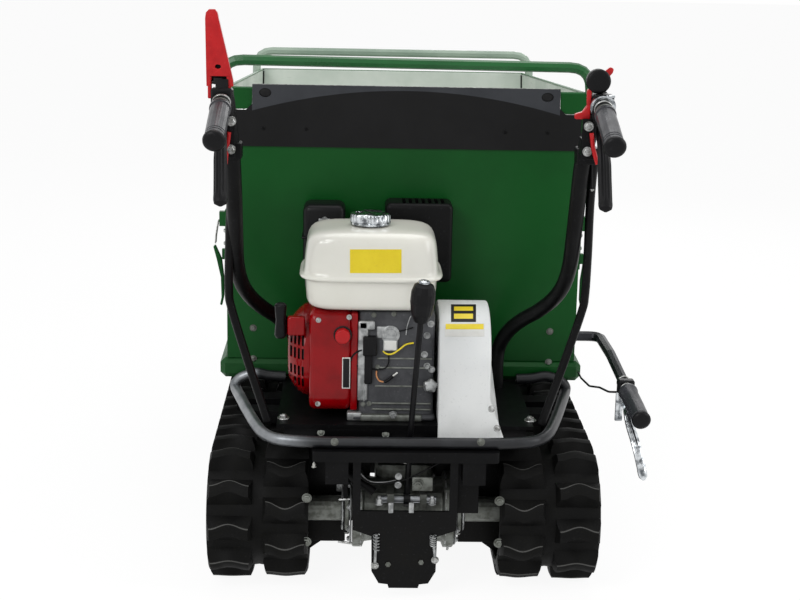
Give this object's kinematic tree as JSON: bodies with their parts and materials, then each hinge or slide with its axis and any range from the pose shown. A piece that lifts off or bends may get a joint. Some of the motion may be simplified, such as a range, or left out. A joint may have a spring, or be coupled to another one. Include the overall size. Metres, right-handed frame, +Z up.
{
  "type": "tracked power barrow",
  "caption": "Walk-behind tracked power barrow with a petrol engine behind a forward-tipping skip, twin handlebars and rubber tracks.",
  "frame": {"origin": "centre of the bounding box in plan, on the ground", "axes": "+Y is the direction of travel, +X the operator's right, +Z up"},
  "size_m": [0.7861, 1.6877, 1.031],
  "materials": {
    "track_rubber": "matt black moulded rubber",
    "cast_steel": "raw cast and machined steel",
    "black_paint": "satin black powder coat",
    "zinc_steel": "zinc plated steel",
    "black_plastic": "moulded black plastic",
    "grip_rubber": "ribbed grey-black rubber",
    "lever_red": "red moulded plastic",
    "engine_red": "glossy red enamel",
    "engine_grey": "dark grey painted aluminium casting",
    "tank_cream": "glossy off-white enamel",
    "cover_white": "white moulded cover",
    "chrome": "polished chrome",
    "green_paint": "glossy green powder coat",
    "skip_paint": "green outside, pale bare metal look inside"
  },
  "bodies": {
    "chassis": {"track_left": "track_rubber", "track_right": "track_rubber", "track_frame_left": "black_paint", "track_frame_right": "black_paint", "gearbox": "cast_steel", "chassis_frame": "black_paint", "engine_plate": "black_paint", "gate_beam": "zinc_steel", "bumper_loop": "zinc_steel", "tow_plate": "black_paint", "handlebar_left": "black_paint", "handlebar_right": "black_paint", "handle_strut_left": "zinc_steel", "handle_strut_right": "zinc_steel", "grip_left": "grip_rubber", "grip_right": "grip_rubber", "lever_perch_left": "black_plastic", "lever_perch_right": "black_plastic", "throttle_body": "black_plastic", "engine_block": "engine_grey", "fan_cover": "engine_red", "recoil_cover": "engine_red", "fuel_tank": "tank_cream", "air_cleaner": "black_plastic", "muffler_guard": "black_paint", "belt_cover": "cover_white", "belt_guard": "black_paint"},
    "skip": {"skip_body": "skip_paint", "skip_base": "green_paint", "rear_plate": "black_paint", "load_hoop": "green_paint", "nose_rail": "green_paint", "latch_strap_left": "green_paint", "latch_strap_right": "green_paint", "tip_handle": "green_paint", "tip_grip": "grip_rubber", "tip_perch": "zinc_steel", "tip_cable": "black_plastic"},
    "selector": {"selector_shaft": "zinc_steel"},
    "gear_lever": {"gear_lever": "zinc_steel", "gear_knob": "black_plastic"},
    "drive_sprocket_left": {"drive_sprocket_left": "cast_steel"},
    "drive_sprocket_right": {"drive_sprocket_right": "cast_steel"},
    "front_idler_left": {"front_idler_left": "cast_steel"},
    "front_idler_right": {"front_idler_right": "cast_steel"},
    "road_roller_left_1": {"road_roller_left_1": "cast_steel"},
    "road_roller_left_2": {"road_roller_left_2": "cast_steel"},
    "road_roller_right_1": {"road_roller_right_1": "cast_steel"},
    "road_roller_right_2": {"road_roller_right_2": "cast_steel"},
    "steering_lever_left": {"steering_lever_left": "black_plastic"},
    "steering_lever_right": {"steering_lever_right": "black_plastic"},
    "clutch_lever": {"clutch_lever": "lever_red"},
    "throttle_lever": {"throttle_lever": "lever_red"},
    "lock_lever": {"lock_lever": "lever_red"},
    "starter_grip": {"starter_grip": "black_plastic"},
    "fuel_cap": {"fuel_cap": "chrome"},
    "engine_switch": {"engine_switch": "lever_red"},
    "side_latch_left": {"side_latch_left": "green_paint"},
    "side_latch_right": {"side_latch_right": "green_paint"},
    "tip_lever": {"tip_lever": "chrome"}
  },
  "joints": [
    {"name": "drive_left_spin", "type": "hinge", "parent": "chassis", "child": "drive_sprocket_left", "pos_m": [-0.28875, -0.511, 0.125], "axis": [1, 0, 0], "continuous": true},
    {"name": "idler_left_spin", "type": "hinge", "parent": "chassis", "child": "front_idler_left", "pos_m": [-0.28875, 0.449, 0.125], "axis": [1, 0, 0], "continuous": true},
    {"name": "roller_left_1_spin", "type": "hinge", "parent": "chassis", "child": "road_roller_left_1", "pos_m": [-0.28875, -0.201, 0.0765], "axis": [1, 0, 0], "continuous": true},
    {"name": "roller_left_2_spin", "type": "hinge", "parent": "chassis", "child": "road_roller_left_2", "pos_m": [-0.28875, 0.139, 0.0765], "axis": [1, 0, 0], "continuous": true},
    {"name": "drive_right_spin", "type": "hinge", "parent": "chassis", "child": "drive_sprocket_right", "pos_m": [0.23125, -0.511, 0.125], "axis": [1, 0, 0], "continuous": true},
    {"name": "idler_right_spin", "type": "hinge", "parent": "chassis", "child": "front_idler_right", "pos_m": [0.23125, 0.449, 0.125], "axis": [1, 0, 0], "continuous": true},
    {"name": "roller_right_1_spin", "type": "hinge", "parent": "chassis", "child": "road_roller_right_1", "pos_m": [0.23125, -0.201, 0.0765], "axis": [1, 0, 0], "continuous": true},
    {"name": "roller_right_2_spin", "type": "hinge", "parent": "chassis", "child": "road_roller_right_2", "pos_m": [0.23125, 0.139, 0.0765], "axis": [1, 0, 0], "continuous": true},
    {"name": "selector_slide", "type": "slide", "parent": "chassis", "child": "selector", "axis": [1, 0, 0], "range_m": [-0.012, 0.012]},
    {"name": "gear_lever_swing", "type": "hinge", "parent": "selector", "child": "gear_lever", "pos_m": [-0.02375, -0.576, 0.168], "axis": [1, 0, 0], "range_deg": [-4, 4]},
    {"name": "steering_left_squeeze", "type": "hinge", "parent": "chassis", "child": "steering_lever_left", "pos_m": [-0.33695, -0.696, 0.85], "axis": [-1, 0, 0], "range_deg": [0, 14], "stiffness_Nm_per_rad": 1, "springref_deg": -17.19},
    {"name": "steering_right_squeeze", "type": "hinge", "parent": "chassis", "child": "steering_lever_right", "pos_m": [0.27145, -0.696, 0.85], "axis": [-1, 0, 0], "range_deg": [0, 14], "stiffness_Nm_per_rad": 1, "springref_deg": -17.19},
    {"name": "clutch_lever_press", "type": "hinge", "parent": "chassis", "child": "clutch_lever", "pos_m": [-0.33695, -0.696, 0.917], "axis": [1, 0, 0], "range_deg": [0, 95], "stiffness_Nm_per_rad": 0.4, "springref_deg": -22.92},
    {"name": "throttle_turn", "type": "hinge", "parent": "chassis", "child": "throttle_lever", "pos_m": [0.26745, -0.6832, 0.929], "axis": [0, -1, 0], "range_deg": [0, 60]},
    {"name": "lock_lever_flip", "type": "hinge", "parent": "chassis", "child": "lock_lever", "pos_m": [0.24365, -0.696, 0.875], "axis": [-1, 0, 0], "range_deg": [0, 25]},
    {"name": "starter_pull", "type": "slide", "parent": "chassis", "child": "starter_grip", "axis": [0, 0, 1], "range_m": [0, 0.06]},
    {"name": "fuel_cap_turn", "type": "hinge", "parent": "chassis", "child": "fuel_cap", "pos_m": [-0.09475, -0.471, 0.65], "axis": [0, 0, 1], "range_deg": [0, 90]},
    {"name": "engine_switch_turn", "type": "hinge", "parent": "chassis", "child": "engine_switch", "pos_m": [-0.14175, -0.551, 0.462], "axis": [0, 1, 0], "range_deg": [0, 60]},
    {"name": "skip_tip", "type": "hinge", "parent": "chassis", "child": "skip", "pos_m": [-0.02875, 0.594, 0.279], "axis": [-1, 0, 0], "range_deg": [0, 65]},
    {"name": "side_latch_left_open", "type": "hinge", "parent": "skip", "child": "side_latch_left", "pos_m": [-0.37955, -0.264, 0.545], "axis": [0, 1, 0], "range_deg": [0, 40]},
    {"name": "side_latch_right_open", "type": "hinge", "parent": "skip", "child": "side_latch_right", "pos_m": [0.32205, -0.264, 0.545], "axis": [0, -1, 0], "range_deg": [0, 40]},
    {"name": "tip_lever_squeeze", "type": "hinge", "parent": "skip", "child": "tip_lever", "pos_m": [0.36846, -0.51997, 0.34183], "axis": [-1, 0, 0], "range_deg": [0, 10], "stiffness_Nm_per_rad": 0.6, "springref_deg": -17.19}
  ],
  "couplings": [
    {"joint": "idler_left_spin", "follows": "drive_left_spin", "ratio": 1},
    {"joint": "roller_left_1_spin", "follows": "drive_left_spin", "ratio": 2.2},
    {"joint": "roller_left_2_spin", "follows": "drive_left_spin", "ratio": 2.2},
    {"joint": "idler_right_spin", "follows": "drive_right_spin", "ratio": 1},
    {"joint": "roller_right_1_spin", "follows": "drive_right_spin", "ratio": 2.2},
    {"joint": "roller_right_2_spin", "follows": "drive_right_spin", "ratio": 2.2}
  ]
}
